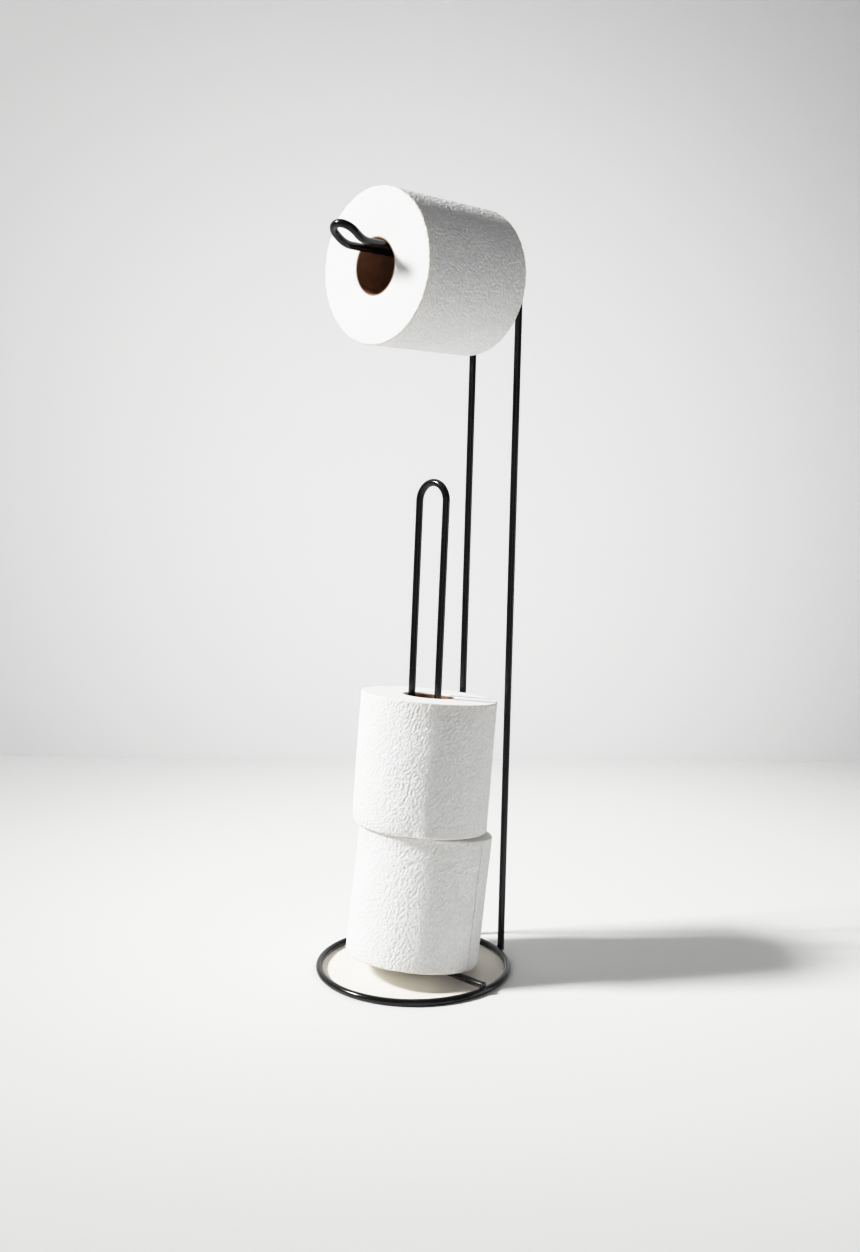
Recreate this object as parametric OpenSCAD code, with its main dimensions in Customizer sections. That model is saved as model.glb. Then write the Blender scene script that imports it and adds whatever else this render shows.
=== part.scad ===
// Free-standing toilet roll holder bent from round wire. One roll hangs on the arm
// at the top and two spare rolls stand on the spindle. Front is -Y, the floor is Z = 0.
// The origin is the middle of the footprint.

/* [Wire] */
// Diameter of the round wire
wire_d = 6; // [5:0.5:7]
// Chamfer on each cut end of a wire
end_chamfer = 0.5; // [0.2:0.1:1]
// How much thicker the wire is in a bend than in a straight
bend_swell = 0.06; // [0.04:0.01:0.1]
// Shortest straight between two bends
min_straight = 0.5; // [0.4:0.1:1]
// How far an upright is set into the ring where it is welded
weld_set = 0.2; // [0.1:0.05:0.5]
// How far a spindle foot is pressed into the ring where it is welded
foot_set = 1.2; // [0.8:0.1:1.6]
// Radius of the weld bead at an upright's foot
upright_bead_r = 2.6; // [2:0.05:2.7]
// Radius of the weld bead under a spindle foot
foot_bead_r = 2.85; // [2.4:0.05:2.9]

/* [Base ring] */
// How far the ring stands out round the spare rolls
ring_margin = 26.1; // [22:0.1:40]
// Depth of the flat that the ring stands on
foot_flat = 0.3; // [0.1:0.05:0.5]

/* [Uprights] */
// Distance between the wire centres where the uprights meet the ring
upright_foot_gap = 55; // [45:0.5:70]
// Distance between the wire centres at the shoulders
upright_top_gap = 50; // [44:0.5:60]
// How far the uprights lean back from foot to shoulder
upright_lean_y = 13.6; // [6:0.2:24]
// Height of each upright's cut end above the floor
upright_end_z = 0.6; // [0.3:0.1:1.5]
// Bend radius of the shoulder, on the wire's centre line
shoulder_r = 15; // [10:0.5:15]

/* [Arm] */
// Height of the arm's centre line
arm_z = 588; // [560:1:640]
// Distance between the two strands' centres
arm_gap = 20.5; // [16:0.5:22]
// Turn from the shoulder inwards, measured from straight ahead
gather_angle = 45; // [40:1:50]
// Bend radius where the strands turn parallel
gather_r = 15; // [10:0.5:15]
// Straight reach of the arm in front of the ring's centre
arm_reach = 60; // [54:1:66]
// Bend radius below the upturned tip
tip_r = 21; // [14:1:24]
// Upward turn of the tip
tip_angle = 35; // [25:1:45]
// Straight length between the tip's bend and its loop
tip_straight = 3; // [1:0.2:8]

/* [Spindle] */
// Distance between the spindle's leg centres
spindle_gap = 30.5; // [27:0.5:32]
// Height of the top of the spindle's centre line
spindle_z = 410.5; // [380:1:430]
// How far the spindle leans back at its top
spindle_lean_y = 20.5; // [10:0.5:28]
// Bend radius of the spindle's feet, on the wire's centre line
foot_r = 6; // [5:0.25:6.5]
// How far a foot runs out past the ring's centre line
foot_past = 1.2; // [0.5:0.1:2.4]

/* [Rolls] */
// Width of the tissue, which is the length of a roll
roll_w = 110; // [96:0.5:116]
// Diameter of the hanging roll
roll_d = 117.2; // [100:0.1:120]
// How much less the upper spare roll measures across
upper_less = 2.8; // [0:0.1:4]
// How much less the lower spare roll measures across
lower_less = 4.2; // [0:0.1:6]
// Bore of the cardboard core
core_bore = 42.2; // [41:0.2:45]
// Wall of the cardboard core
core_wall = 0.8; // [0.5:0.1:1.2]
// How far the core stays back from the tissue's end faces
core_recess = 0.3; // [0.1:0.1:1]
// Rounding of the tissue's outer edges
tissue_edge_r = 2.4; // [1:0.2:4]
// Height of the step at the tissue's loose end
tail_step = 0.4; // [0.2:0.1:0.6]
// Distance of the hanging roll's middle behind the ring's centre
hanging_y = 9.5; // [6:0.5:11]

/* [Fits] */
// Clearance between a roll and what holds it
rest_gap = 0.3; // [0.2:0.05:0.5]
// Clearance between the core and the tissue wound on it
wound_gap = 0.02; // [0.01:0.01:0.05]
// Share of the core's play that the lower spare roll's foot lies in front of the spindle
lower_foot_share = 0.28; // [0.1:0.02:0.4]
// Share of the core's play that the lower spare roll's top lies behind the spindle
lower_top_share = 0.96; // [0.5:0.02:1]
// Share of the core's play that the upper spare roll's top lies behind the spindle
upper_top_share = 0.64; // [0.3:0.02:0.8]

/* [Hidden] */
$fn = 64;

wire_r = wire_d / 2;
upper_d = roll_d - upper_less;
lower_d = roll_d - lower_less;
ring_r = upper_d / 2 + ring_margin - wire_r;
ring_z = wire_r - foot_flat;
core_r = core_bore / 2;
core_or = core_r + core_wall;

// Uprights stand against the outside of the ring.
foot_x = upright_foot_gap / 2;
foot_y = sqrt(pow(ring_r + wire_d - weld_set, 2) - foot_x * foot_x);
shoulder_x = upright_top_gap / 2;
shoulder_y = foot_y + upright_lean_y;

// Arm strands, from the gather behind the roll to the loop at the tip.
strand_x = arm_gap / 2;
gather_y = shoulder_y - (shoulder_x - strand_x) / tan(gather_angle);
tip_tangent = tip_r * tan(tip_angle / 2);
tip_corner_y = -arm_reach - tip_tangent;
tip_run = tip_tangent + tip_straight;
loop_y = tip_corner_y - tip_run * cos(tip_angle);
loop_z = arm_z + tip_run * sin(tip_angle);

// Spindle: its feet cross the ring's top.
spindle_x = spindle_gap / 2;
foot_z = ring_z + wire_d - foot_set;
spindle_lean = atan(spindle_lean_y / (spindle_z - foot_z));
spindle_bend_y = spindle_lean_y - spindle_x * sin(spindle_lean);
spindle_bend_z = spindle_z - spindle_x * cos(spindle_lean);

// Footprint, from which the origin is worked out.
front_reach = max(ring_r, strand_x * cos(tip_angle) - loop_y) + wire_r;
back_reach = shoulder_y + wire_r;
ring_y = (front_reach - back_reach) / 2;

// Hanging roll: the core hangs on both strands.
hang_drop = sqrt(pow(core_r - wire_r - rest_gap, 2) - strand_x * strand_x);
hanging_z = arm_z - hang_drop;

// Spare rolls tip back on the spindle, by no more than the play of their cores on its legs.
// Offsets are measured square to the spindle, in its side view (y, z).
play = sqrt(pow(core_r - wire_r - rest_gap, 2) - spindle_x * spindle_x);
lower_off = -play * lower_foot_share;
lower_tilt = asin((play * lower_top_share - lower_off) / roll_w);
upper_tilt = asin(play * upper_top_share / roll_w);
lower_lean = spindle_lean + lower_tilt;
upper_lean = spindle_lean + upper_tilt;
spindle_up = [sin(spindle_lean), cos(spindle_lean)];
spindle_back = [cos(spindle_lean), -sin(spindle_lean)];

// The lower roll stands on the crossing feet.
lower_up = [sin(lower_lean), cos(lower_lean)];
lower_s = (wire_r + rest_gap - lower_off * (lower_up * spindle_back)) / (lower_up * spindle_up);
lower_base = [0, foot_z] + spindle_up * lower_s + spindle_back * lower_off;

// The upper roll stands on the lower roll's raised front rim.
upper_up = [sin(upper_lean), cos(upper_lean)];
rim_centre = lower_base + lower_up * (roll_w - tissue_edge_r);
rim_reach = (lower_d / 2 - tissue_edge_r) * sin(lower_lean - upper_lean);
rim_top = upper_up * rim_centre + rim_reach + tissue_edge_r;
upper_s = (rim_top + rest_gap - upper_up * [0, foot_z]) / (upper_up * spindle_up);
upper_base = [0, foot_z] + spindle_up * upper_s;

// Angle round each roll at which its loose end lies.
hanging_tail = 215;
upper_tail = 100;
lower_tail = 10;

powder_black = [0.05, 0.05, 0.055];
tissue_white = [0.95, 0.95, 0.94];
board_brown = [0.62, 0.5, 0.38];

function unit(v) = v / norm(v);
function turn_angle(a, b, c) = acos(max(-1, min(1, unit(b - a) * unit(c - b))));

// Turns +Z onto the given direction.
module along(v) {
    u = unit(v);
    rotate([0, acos(u.z), atan2(u.y, u.x)]) children();
}

// A straight length of wire from a to b. It starts with a chamfered cut end or runs a
// little into the bend there, and it runs a little into the bend at b.
module straight(a, b, cut) {
    lap = min_straight / 4;
    start = cut ? a : a - unit(b - a) * lap;
    h = norm(b - start) + lap;
    translate(start) along(b - a) {
        if (cut)
            rotate_extrude()
                polygon([[0, 0], [wire_r - end_chamfer, 0], [wire_r, end_chamfer], [wire_r, h], [0, h]]);
        else
            cylinder(d = wire_d, h = h);
    }
}

// A bend at corner b, tangent to both lengths that meet there.
module corner(a, b, c, r) {
    u = unit(b - a);
    v = unit(c - b);
    turn = turn_angle(a, b, c);
    inward = unit(v - u * (u * v));
    side = cross(inward, u);
    centre = b - u * r * tan(turn / 2) + inward * r;
    frame = [
        [-inward.x, u.x, -side.x, centre.x],
        [-inward.y, u.y, -side.y, centre.y],
        [-inward.z, u.z, -side.z, centre.z],
        [0, 0, 0, 1]
    ];
    multmatrix(frame) rotate_extrude(angle = turn) translate([r, 0]) circle(d = wire_d + bend_swell);
}

// Half turn across the X axis round the given centre, facing up by tilt from the front.
module half_turn(centre, gap, tilt) {
    translate(centre) rotate([180 - tilt, 0, 0])
        rotate_extrude(angle = 180) translate([gap / 2, 0]) circle(d = wire_d + bend_swell);
}

// Length that the bend with index i takes from each of its two straights.
function setback(points, radii, i) =
    i < 0 || i >= len(radii) ? 0
    : radii[i] * tan(turn_angle(points[i], points[i + 1], points[i + 2]) / 2);

// Share of its radius that a bend keeps, so that a straight is left on both sides of it.
function kept_share(points, radii, i) =
    let (
        here = setback(points, radii, i),
        before = here + setback(points, radii, i - 1),
        after = here + setback(points, radii, i + 1)
    )
    min(
        1,
        (norm(points[i + 1] - points[i]) - min_straight) / before,
        (norm(points[i + 2] - points[i + 1]) - min_straight) / after
    );

// Wire bent round the inner points of a path, with one radius for each of them.
// It has a cut end at its first point and runs into a bend at its last.
module bent_wire(points, radii) {
    kept = [for (i = [0 : len(radii) - 1]) radii[i] * kept_share(points, radii, i)];
    for (i = [0 : len(points) - 2]) {
        way = unit(points[i + 1] - points[i]);
        straight(
            points[i] + way * setback(points, kept, i - 1),
            points[i + 1] - way * setback(points, kept, i),
            i == 0
        );
    }
    for (i = [0 : len(kept) - 1])
        corner(points[i], points[i + 1], points[i + 2], kept[i]);
}

module both_sides() {
    children();
    mirror([1, 0, 0]) children();
}

// Everything is modelled round the ring's centre and then moved to the footprint's middle.
module on_footprint() {
    translate([0, ring_y, 0]) children();
}

module ring_body() {
    translate([0, 0, ring_z]) rotate_extrude($fn = 360) translate([ring_r, 0]) circle(d = wire_d);
}

// One long wire: upright, shoulder, arm strand, loop, and back the same way.
module frame_body() {
    both_sides() bent_wire(
        [
            [foot_x, foot_y, upright_end_z],
            [shoulder_x, shoulder_y, arm_z],
            [strand_x, gather_y, arm_z],
            [strand_x, tip_corner_y, arm_z],
            [strand_x, loop_y, loop_z]
        ],
        [shoulder_r, gather_r, tip_r]
    );
    half_turn([0, loop_y, loop_z], arm_gap, tip_angle);
}

// Inverted U whose legs turn outwards into two feet.
module spindle_body() {
    both_sides() bent_wire(
        [
            [ring_r + foot_past, 0, foot_z],
            [spindle_x, 0, foot_z],
            [spindle_x, spindle_bend_y, spindle_bend_z]
        ],
        [foot_r]
    );
    half_turn([0, spindle_bend_y, spindle_bend_z], spindle_gap, 90 + spindle_lean);
}

// The ring's underside is level, so that it stands flat.
module base_ring() {
    color(powder_black) on_footprint() difference() {
        ring_body();
        translate([0, 0, -wire_d]) cylinder(r = ring_r + wire_d, h = wire_d);
    }
}

module frame_wire() {
    color(powder_black) on_footprint() difference() {
        frame_body();
        ring_body();
    }
}

module spindle_wire() {
    color(powder_black) on_footprint() difference() {
        spindle_body();
        ring_body();
    }
}

// Bead round the place where an upright touches the ring; side is -1 or 1.
module upright_weld(side) {
    reach = (ring_r + wire_r - weld_set / 2) / norm([foot_x, foot_y]);
    color(powder_black) on_footprint() difference() {
        translate([side * foot_x * reach, foot_y * reach, ring_z]) sphere(r = upright_bead_r);
        ring_body();
        frame_body();
    }
}

// Bead round the place where a spindle foot lies on the ring; side is -1 or 1.
module foot_weld(side) {
    color(powder_black) on_footprint() difference() {
        translate([side * ring_r, 0, ring_z + wire_r - foot_set / 2]) sphere(r = foot_bead_r);
        ring_body();
        spindle_body();
    }
}

module left_upright_weld() { upright_weld(-1); }
module right_upright_weld() { upright_weld(1); }
module left_foot_weld() { foot_weld(-1); }
module right_foot_weld() { foot_weld(1); }

// Half of a disc, on the side of the X axis that side names.
module half_disc(r, side) {
    intersection() {
        circle(r = r);
        translate([-r, side > 0 ? 0 : -r]) square([2 * r, r]);
    }
}

// Outline of wound tissue: two half circles whose radii differ by half the step,
// so that the outer sheet ends in one step.
module wound_outline(d) {
    r = d / 2 - tail_step / 2;
    translate([tail_step / 4, 0]) half_disc(r + tail_step * 3 / 4, 1);
    translate([-tail_step / 4, 0]) half_disc(r + tail_step / 4, -1);
}

// Drum with rounded rims, a little larger than the tissue that it trims.
module rim_trimmer(d) {
    r = d / 2 + tail_step;
    rotate_extrude() {
        square([r - tissue_edge_r, roll_w]);
        translate([0, tissue_edge_r]) square([r, roll_w - 2 * tissue_edge_r]);
        for (z = [tissue_edge_r, roll_w - tissue_edge_r])
            translate([r - tissue_edge_r, z]) intersection() {
                circle(r = tissue_edge_r);
                translate([0, -tissue_edge_r]) square([tissue_edge_r, 2 * tissue_edge_r]);
            }
    }
}

// Wound tissue on its end, with its loose end at the angle tail.
module tissue(d, tail) {
    color(tissue_white) difference() {
        intersection() {
            rotate([0, 0, tail]) linear_extrude(height = roll_w) wound_outline(d);
            rim_trimmer(d);
        }
        translate([0, 0, -core_wall]) cylinder(r = core_or + wound_gap, h = roll_w + 2 * core_wall);
    }
}

// Cardboard tube on its end.
module core() {
    color(board_brown) translate([0, 0, core_recess]) difference() {
        cylinder(r = core_or, h = roll_w - 2 * core_recess);
        translate([0, 0, -core_wall]) cylinder(r = core_r, h = roll_w + 2 * core_wall);
    }
}

module on_arm() {
    on_footprint() translate([0, hanging_y - roll_w / 2, hanging_z]) rotate([-90, 0, 0]) children();
}

module on_spindle(base, lean) {
    on_footprint() translate([0, base[0], base[1]]) rotate([-lean, 0, 0]) children();
}

module hanging_roll_tissue() { on_arm() tissue(roll_d, hanging_tail); }
module hanging_roll_core() { on_arm() core(); }
module upper_spare_tissue() { on_spindle(upper_base, upper_lean) tissue(upper_d, upper_tail); }
module upper_spare_core() { on_spindle(upper_base, upper_lean) core(); }
module lower_spare_tissue() { on_spindle(lower_base, lower_lean) tissue(lower_d, lower_tail); }
module lower_spare_core() { on_spindle(lower_base, lower_lean) core(); }

base_ring();
frame_wire();
spindle_wire();
left_upright_weld();
right_upright_weld();
left_foot_weld();
right_foot_weld();
hanging_roll_tissue();
hanging_roll_core();
upper_spare_tissue();
upper_spare_core();
lower_spare_tissue();
lower_spare_core();
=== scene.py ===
"""Looks of a free-standing toilet roll holder: black wire stand and three rolls of tissue.

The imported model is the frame. The wires and their welds keep the frame's solids and get a
powder coat; the wound tissue and the cardboard cores are modelled again in full detail.
Lengths are metres, the front is -Y and the floor is Z = 0.
"""
from __future__ import annotations

import logging
import math
from collections.abc import Iterable
from dataclasses import dataclass, field
from enum import Enum

import bmesh
import bpy
import numpy as np
from mathutils import Matrix, Vector, noise

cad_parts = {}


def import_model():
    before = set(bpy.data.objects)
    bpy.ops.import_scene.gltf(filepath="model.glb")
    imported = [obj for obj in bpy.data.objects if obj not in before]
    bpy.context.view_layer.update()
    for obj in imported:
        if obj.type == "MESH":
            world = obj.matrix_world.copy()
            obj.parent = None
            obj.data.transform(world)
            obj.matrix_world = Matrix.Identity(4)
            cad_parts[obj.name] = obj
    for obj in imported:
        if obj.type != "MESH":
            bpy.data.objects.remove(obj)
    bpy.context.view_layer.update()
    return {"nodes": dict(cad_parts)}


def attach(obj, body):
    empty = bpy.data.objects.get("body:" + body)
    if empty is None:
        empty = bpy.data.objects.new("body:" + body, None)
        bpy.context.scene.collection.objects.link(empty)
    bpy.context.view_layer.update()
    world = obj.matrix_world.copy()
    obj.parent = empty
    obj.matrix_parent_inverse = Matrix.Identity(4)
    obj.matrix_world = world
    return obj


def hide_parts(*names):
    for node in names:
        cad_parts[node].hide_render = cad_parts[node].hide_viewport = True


MM = 0.001
UP = Vector((0, 0, 1))
RING_TOLERANCE = 2e-5
MERGE_DISTANCE = 1e-6
log = logging.getLogger("holder")

Profile = list[tuple[float, float]]
Span = tuple[float, float]
Point = tuple[float, float, float]
Colour = tuple[float, float, float, float]
Socket = bpy.types.NodeSocket


# ---------------- operators


def only(obj: bpy.types.Object | None) -> None:
    """Deselects everything, then selects and activates an object, if one is given."""
    if bpy.context.object and bpy.context.object.mode != "OBJECT":
        bpy.ops.object.mode_set(mode="OBJECT")
    bpy.ops.object.select_all(action="DESELECT")
    bpy.context.view_layer.objects.active = obj
    if obj is not None:
        obj.select_set(True)


def edit_edges(obj: bpy.types.Object) -> None:
    """Opens one mesh object in edit mode, for edges, with nothing selected."""
    only(obj)
    bpy.ops.object.mode_set(mode="EDIT")
    bpy.ops.mesh.select_mode(type="EDGE")
    bpy.ops.mesh.select_all(action="DESELECT")


def leave() -> None:
    """Goes back to object mode."""
    bpy.ops.object.mode_set(mode="OBJECT")


def apply_all(obj: bpy.types.Object) -> None:
    """Applies every modifier of an object in order."""
    only(obj)
    for name in [m.name for m in obj.modifiers]:
        bpy.ops.object.modifier_apply(modifier=name)


def settle(obj: bpy.types.Object, place: Matrix | None = None) -> None:
    """Moves an object to its place and applies that place to its mesh.

    Args:
        obj: The object.
        place: Its matrix in the row frame, or None to keep the one it has.
    """
    only(obj)
    if place is not None:
        obj.matrix_world = place
    bpy.ops.object.transform_apply(location=True, rotation=True, scale=True)


def smooth(obj: bpy.types.Object) -> None:
    """Shades an object smooth."""
    only(obj)
    bpy.ops.object.shade_smooth()


def points_of(obj: bpy.types.Object) -> np.ndarray:
    """Returns the mesh's points as an array of rows."""
    co = np.empty(len(obj.data.vertices) * 3)
    obj.data.vertices.foreach_get("co", co)
    return co.reshape(-1, 3)


def put_points(obj: bpy.types.Object, co: np.ndarray) -> None:
    """Writes the mesh's points back."""
    obj.data.vertices.foreach_set("co", co.ravel())
    obj.data.update()


def put_attribute(obj: bpy.types.Object, name: str, values: np.ndarray) -> None:
    """Writes one number per point as a mesh attribute that the materials read."""
    layer = obj.data.attributes.new(name, "FLOAT", "POINT")
    layer.data.foreach_set("value", values.astype(np.float32))


def turned_body(name: str, segments: int, profile: Profile) -> bpy.types.Object:
    """Extrudes a circle round Z along a closed profile.

    Args:
        name: Name of the new object.
        segments: Points round the circle.
        profile: Radius and height of each ring, in order; the last is the first again.

    Returns:
        The new mesh object, with its normals outwards.
    """
    only(None)
    radius, height = profile[0]
    bpy.ops.mesh.primitive_circle_add(vertices=segments, radius=radius, location=(0, 0, height))
    obj = bpy.context.active_object
    obj.name = obj.data.name = name
    settle(obj)
    edit_edges(obj)
    bpy.ops.mesh.select_all(action="SELECT")
    for (r0, z0), (r1, z1) in zip(profile, profile[1:]):
        bpy.ops.mesh.extrude_region_move(TRANSFORM_OT_translate={"value": (0, 0, z1 - z0)})
        bpy.ops.transform.resize(value=(r1 / r0, r1 / r0, 1), center_override=(0, 0, z1))
    bpy.ops.mesh.select_all(action="SELECT")
    bpy.ops.mesh.remove_doubles(threshold=MERGE_DISTANCE)
    bpy.ops.mesh.normals_make_consistent(inside=False)
    leave()
    return obj


def split_band(obj: bpy.types.Object, low: Span, high: Span, cuts: int) -> None:
    """Adds rings between two rings of a turned body.

    Args:
        obj: The turned body.
        low: Radius and height of one ring.
        high: Radius and height of the other.
        cuts: How many rings to add.
    """
    edit_edges(obj)
    mesh = bmesh.from_edit_mesh(obj.data)

    def on(v: bmesh.types.BMVert, ring: Span) -> bool:
        """Says whether a point lies on a ring."""
        off = abs(math.hypot(v.co.x, v.co.y) - ring[0]), abs(v.co.z - ring[1])
        return max(off) < RING_TOLERANCE

    for e in mesh.edges:
        a, b = e.verts
        e.select = (on(a, low) and on(b, high)) or (on(a, high) and on(b, low))
    bmesh.update_edit_mesh(obj.data)
    bpy.ops.mesh.subdivide(number_cuts=cuts, smoothness=0)
    leave()


# ---------------- nodes


class Sockets:
    """Adds and joins the nodes of one tree."""

    def __init__(self, tree: bpy.types.NodeTree) -> None:
        """Keeps the tree to add nodes to."""
        self.tree = tree

    def add(self, kind: str, **settings: object) -> bpy.types.Node:
        """Adds a node, sets its properties and returns it."""
        node = self.tree.nodes.new(kind)
        for key, value in settings.items():
            setattr(node, key, value)
        return node

    def link(self, source: Socket, target: Socket) -> None:
        """Joins two sockets."""
        self.tree.links.new(source, target)

    def feed(self, node: bpy.types.Node, **inputs: object) -> bpy.types.Node:
        """Links or sets a node's inputs.

        Args:
            node: The node to feed.
            **inputs: A socket to link or a value to set, by input name with underscores for
                spaces, or by i and the input's number.

        Returns:
            The same node.
        """
        for key, value in inputs.items():
            by_number = key[0] == "i" and key[1:].isdigit()
            socket = node.inputs[int(key[1:]) if by_number else key.replace("_", " ")]
            if isinstance(value, Socket):
                self.link(value, socket)
            else:
                socket.default_value = value
        return node

    def position(self) -> Socket:
        """Adds the object coordinates of each point."""
        return self.add("ShaderNodeTexCoord").outputs["Object"]

    def attribute(self, name: str) -> Socket:
        """Adds the value of a mesh attribute."""
        return self.add("ShaderNodeAttribute", attribute_name=name).outputs["Fac"]

    def camera_ray(self) -> Socket:
        """Adds a mask that is 1 where the camera itself looks."""
        return self.add("ShaderNodeLightPath").outputs["Is Camera Ray"]

    def maths(self, operation: str, a: Socket | float, b: Socket | float) -> Socket:
        """Adds a Math node and returns its result."""
        return self.feed(self.add("ShaderNodeMath", operation=operation), i0=a, i1=b).outputs[0]

    def times(self, a: Socket | float, b: Socket | float) -> Socket:
        """Multiplies two values."""
        return self.maths("MULTIPLY", a, b)

    def plus(self, a: Socket | float, b: Socket | float) -> Socket:
        """Adds two values."""
        return self.maths("ADD", a, b)

    def ramp(
        self, value: Socket, span: tuple[Socket | float, float], to: Span = (0.0, 1.0),
        **settings: str,
    ) -> Socket:
        """Maps one span of values to another, held at its ends.

        Args:
            value: What to map.
            span: Where the rise begins and ends.
            to: The results there.
            **settings: Properties of the Map Range node.

        Returns:
            The mapped value.
        """
        node = self.add("ShaderNodeMapRange", **settings)
        self.feed(node, Value=value, From_Min=span[0], From_Max=span[1])
        return self.feed(node, To_Min=to[0], To_Max=to[1]).outputs[0]

    def soft_step(self, value: Socket, span: Span) -> Socket:
        """Rises softly from 0 to 1 over a span of values."""
        return self.ramp(value, span, interpolation_type="SMOOTHERSTEP")

    def mix(self, factor: Socket, a: Socket | Colour, b: Socket | Colour) -> Socket:
        """Mixes two colours."""
        node = self.add("ShaderNodeMix", data_type="RGBA")
        return self.feed(node, i0=factor, i6=a, i7=b).outputs[2]

    def mix_shaders(self, factor: Socket, a: Socket, b: Socket) -> Socket:
        """Mixes two shaders."""
        return self.feed(self.add("ShaderNodeMixShader"), i0=factor, i1=a, i2=b).outputs[0]

    def noise(self, vector: Socket, scale: Socket | float, detail: float) -> Socket:
        """Adds a Noise node and returns its value."""
        node = self.add("ShaderNodeTexNoise")
        return self.feed(node, Vector=vector, Scale=scale, Detail=detail).outputs["Fac"]

    def distance(self, vector: Socket, centre: Point) -> Socket:
        """Measures how far each point lies from a centre."""
        node = self.add("ShaderNodeVectorMath", operation="DISTANCE")
        return self.feed(node, i0=vector, i1=centre).outputs["Value"]

    def bump(self, height: Socket, distance: float, strength: float) -> Socket:
        """Turns a height into a normal."""
        node = self.add("ShaderNodeBump")
        return self.feed(node, Height=height, Distance=distance, Strength=strength).outputs[0]


def new_group(
    name: str, levels: dict[str, float], result: str
) -> tuple[Sockets, bpy.types.Node, bpy.types.Node]:
    """Makes an empty shader group that takes a vector and numbers and gives one number.

    Args:
        name: The group's name.
        levels: Start value of each number that it takes, by socket name.
        result: Name of the socket that it gives.

    Returns:
        The group's helper, its input node and its output node.
    """
    tree = bpy.data.node_groups.new(name, "ShaderNodeTree")
    tree.interface.new_socket("Vector", in_out="INPUT", socket_type="NodeSocketVector")
    for key, value in levels.items():
        socket = tree.interface.new_socket(key, in_out="INPUT", socket_type="NodeSocketFloat")
        socket.default_value = value
    tree.interface.new_socket(result, in_out="OUTPUT", socket_type="NodeSocketFloat")
    s = Sockets(tree)
    return s, s.add("NodeGroupInput"), s.add("NodeGroupOutput")


def new_material(name: str) -> tuple[bpy.types.Material, Sockets, bpy.types.Node]:
    """Makes a material with a Principled BSDF.

    Args:
        name: The material's name.

    Returns:
        The material, its helper and its shader node.
    """
    mat = bpy.data.materials.new(name)
    mat.use_nodes = True
    return mat, Sockets(mat.node_tree), mat.node_tree.nodes["Principled BSDF"]


@dataclass(frozen=True)
class Mottle:
    """Scales of a finish's soft patches, and the share of the fine ones."""

    broad: float
    fine: float
    fine_share: float


@dataclass(frozen=True)
class Specks:
    """Scale and size of a finish's sparse specks."""

    scale: float
    spread: float


class SharedEffects:
    """Node groups that more than one finish places."""

    broad_detail = 2.0
    fine_detail = 3.0
    speck_field_scale = 60.0
    speck_field_detail = 1.0
    speck_level = 0.56

    def __init__(self) -> None:
        """Builds each group once."""
        self.mottle = self._mottle_group()
        self.specks = self._speck_group()

    def _mottle_group(self) -> bpy.types.NodeTree:
        """Builds soft patches of two scales, as a value round a half."""
        s, gin, gout = new_group(
            "soft_mottle", {"Broad Scale": 20.0, "Fine Scale": 400.0, "Fine Share": 0.4}, "Value"
        )
        where = gin.outputs["Vector"]
        broad = s.noise(where, gin.outputs["Broad Scale"], self.broad_detail)
        fine = s.noise(where, gin.outputs["Fine Scale"], self.fine_detail)
        both = s.add("ShaderNodeMix", data_type="FLOAT")
        s.feed(both, i0=gin.outputs["Fine Share"], i2=broad, i3=fine)
        s.link(both.outputs[0], gout.inputs["Value"])
        return s.tree

    def _speck_group(self) -> bpy.types.NodeTree:
        """Builds sparse small specks, as a mask."""
        s, gin, gout = new_group("sparse_specks", {"Scale": 500.0, "Spread": 0.12}, "Mask")
        where = gin.outputs["Vector"]
        cells = s.feed(s.add("ShaderNodeTexVoronoi"), Vector=where, Scale=gin.outputs["Scale"])
        dot = s.ramp(cells.outputs["Distance"], (gin.outputs["Spread"], 0.0))
        area = s.noise(where, self.speck_field_scale, self.speck_field_detail)
        gate = s.maths("GREATER_THAN", area, self.speck_level)
        s.link(s.times(dot, gate), gout.inputs["Mask"])
        return s.tree

    def place_mottle(self, s: Sockets, where: Socket, mottle: Mottle) -> Socket:
        """Places the soft patches in a material and returns their value."""
        node = s.add("ShaderNodeGroup", node_tree=self.mottle)
        s.feed(node, Vector=where, Broad_Scale=mottle.broad)
        return s.feed(node, Fine_Scale=mottle.fine, Fine_Share=mottle.fine_share).outputs[0]

    def place_specks(self, s: Sockets, where: Socket, specks: Specks) -> Socket:
        """Places the specks in a material and returns their mask."""
        node = s.add("ShaderNodeGroup", node_tree=self.specks)
        return s.feed(node, Vector=where, Scale=specks.scale, Spread=specks.spread).outputs[0]


# ---------------- finishes


@dataclass(frozen=True)
class PowderCoat:
    """Satin black powder coat on the wires."""

    colour: Colour = (0.0036, 0.0036, 0.0038, 1.0)
    worn: Colour = (0.0065, 0.0064, 0.0066, 1.0)
    mottle: Mottle = Mottle(45.0, 1400.0, 0.5)
    mottle_span: Span = (0.35, 0.65)
    roughness: Span = (0.13, 0.19)
    specks: Specks = Specks(420.0, 0.10)
    speck_roughness: float = 0.15
    peel_scale: float = 900.0
    peel_detail: float = 2.0
    peel_depth: float = 0.00003
    peel_strength: float = 0.6
    specular: float = 0.33

    def material(self, shared: SharedEffects) -> bpy.types.Material:
        """Builds the finish.

        Args:
            shared: The shared node groups.

        Returns:
            The material.
        """
        mat, s, bsdf = new_material("black_powder_coat")
        where = s.position()
        mottle = shared.place_mottle(s, where, self.mottle)
        specks = shared.place_specks(s, where, self.specks)
        rough = s.ramp(mottle, self.mottle_span, self.roughness)
        peel = s.noise(where, self.peel_scale, self.peel_detail)
        s.feed(
            bsdf,
            Base_Color=s.mix(s.ramp(mottle, self.mottle_span), self.colour, self.worn),
            Roughness=s.plus(rough, s.times(specks, self.speck_roughness)),
            Normal=s.bump(peel, self.peel_depth, self.peel_strength),
            Specular_IOR_Level=self.specular,
        )
        return mat


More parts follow.
